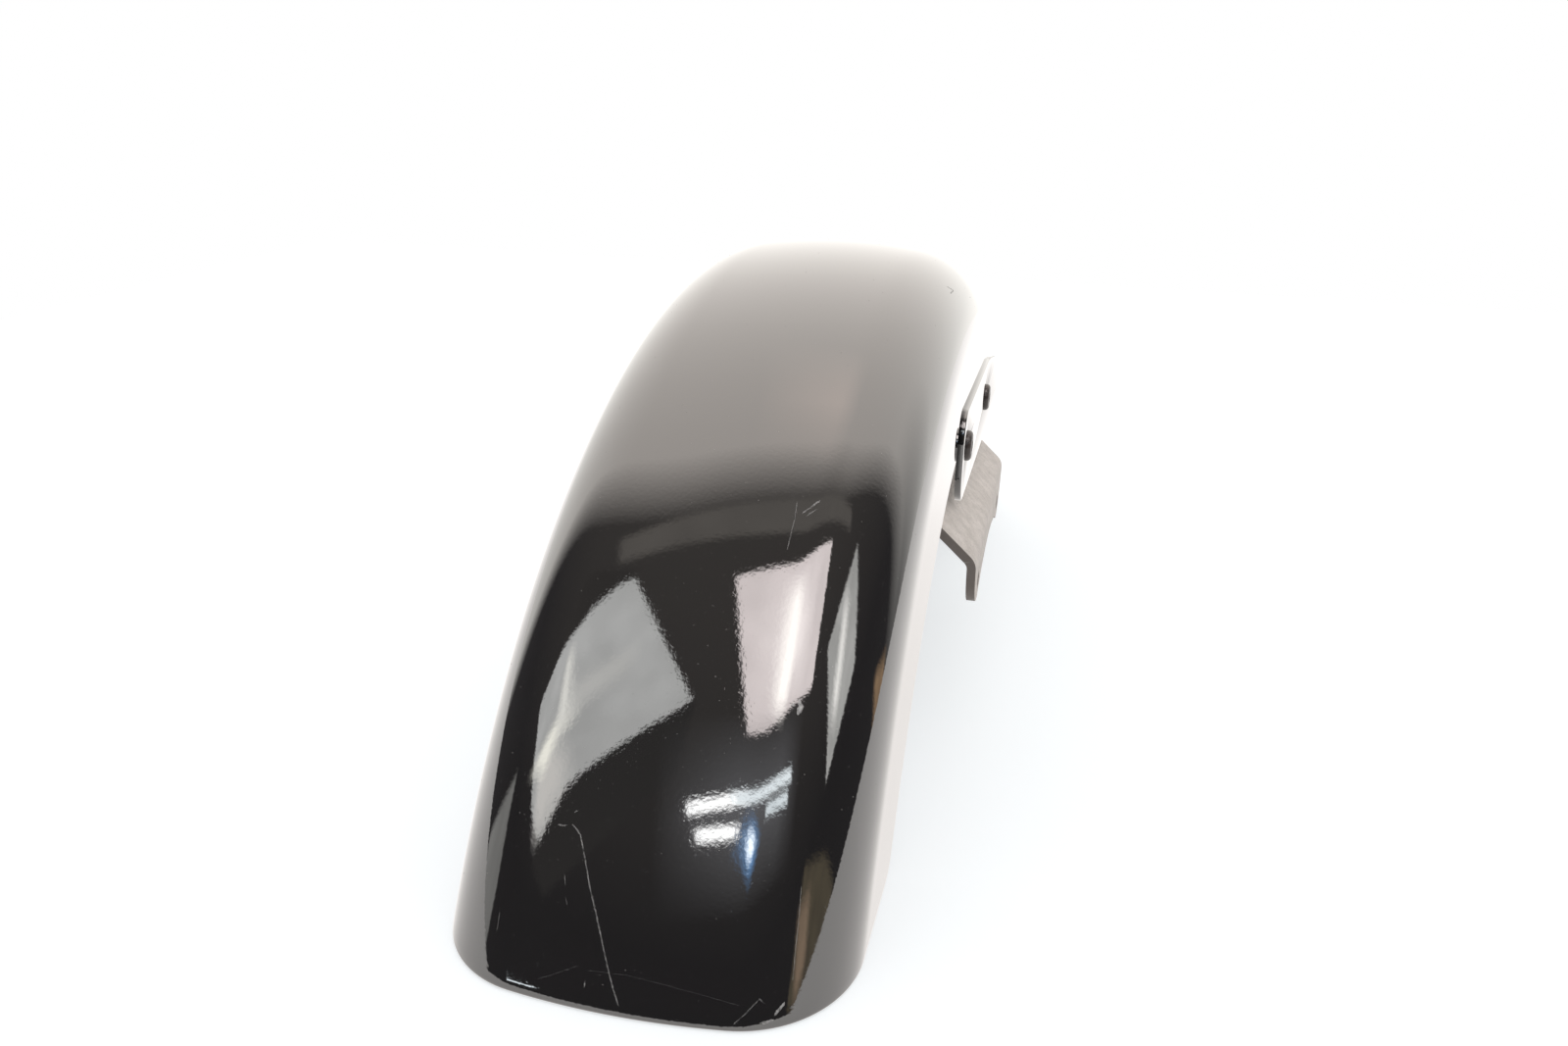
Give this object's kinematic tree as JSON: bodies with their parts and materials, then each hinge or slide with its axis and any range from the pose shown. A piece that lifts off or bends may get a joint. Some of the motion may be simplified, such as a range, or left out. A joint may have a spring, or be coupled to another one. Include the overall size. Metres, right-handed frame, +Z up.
{
  "type": "motorcycle front fender",
  "caption": "Arched gloss black motorcycle front fender with deep skirts, level ends, hemmed rim, side plates and bent steel fork brackets.",
  "frame": {"origin": "on the ground under the middle of the arch, where the fender stands open side down on its two level ends", "axes": "+X towards the rider's left, +Y towards the rear end, +Z up through the crown"},
  "size_m": [0.1726, 0.635, 0.2043],
  "materials": {
    "gloss_black_paint": "gloss",
    "grey_plate": "satin, worn",
    "black_bolt": "satin",
    "zinc_fastener": "satin"
  },
  "bodies": {
    "root": {"fender_shell": "gloss_black_paint", "left_fork_bracket": "grey_plate", "left_side_plate": "gloss_black_paint", "left_front_bolt": "black_bolt", "left_front_nut": "zinc_fastener", "left_front_washer": "zinc_fastener", "left_front_outer_spacer": "gloss_black_paint", "left_front_inner_spacer": "gloss_black_paint", "left_rear_bolt": "black_bolt", "left_rear_nut": "zinc_fastener", "left_rear_washer": "zinc_fastener", "left_rear_outer_spacer": "gloss_black_paint", "left_rear_inner_spacer": "gloss_black_paint", "right_fork_bracket": "grey_plate", "right_side_plate": "gloss_black_paint", "right_front_bolt": "black_bolt", "right_front_nut": "zinc_fastener", "right_front_washer": "zinc_fastener", "right_front_outer_spacer": "gloss_black_paint", "right_front_inner_spacer": "gloss_black_paint", "right_rear_bolt": "black_bolt", "right_rear_nut": "zinc_fastener", "right_rear_washer": "zinc_fastener", "right_rear_outer_spacer": "gloss_black_paint", "right_rear_inner_spacer": "gloss_black_paint"}
  },
  "joints": []
}
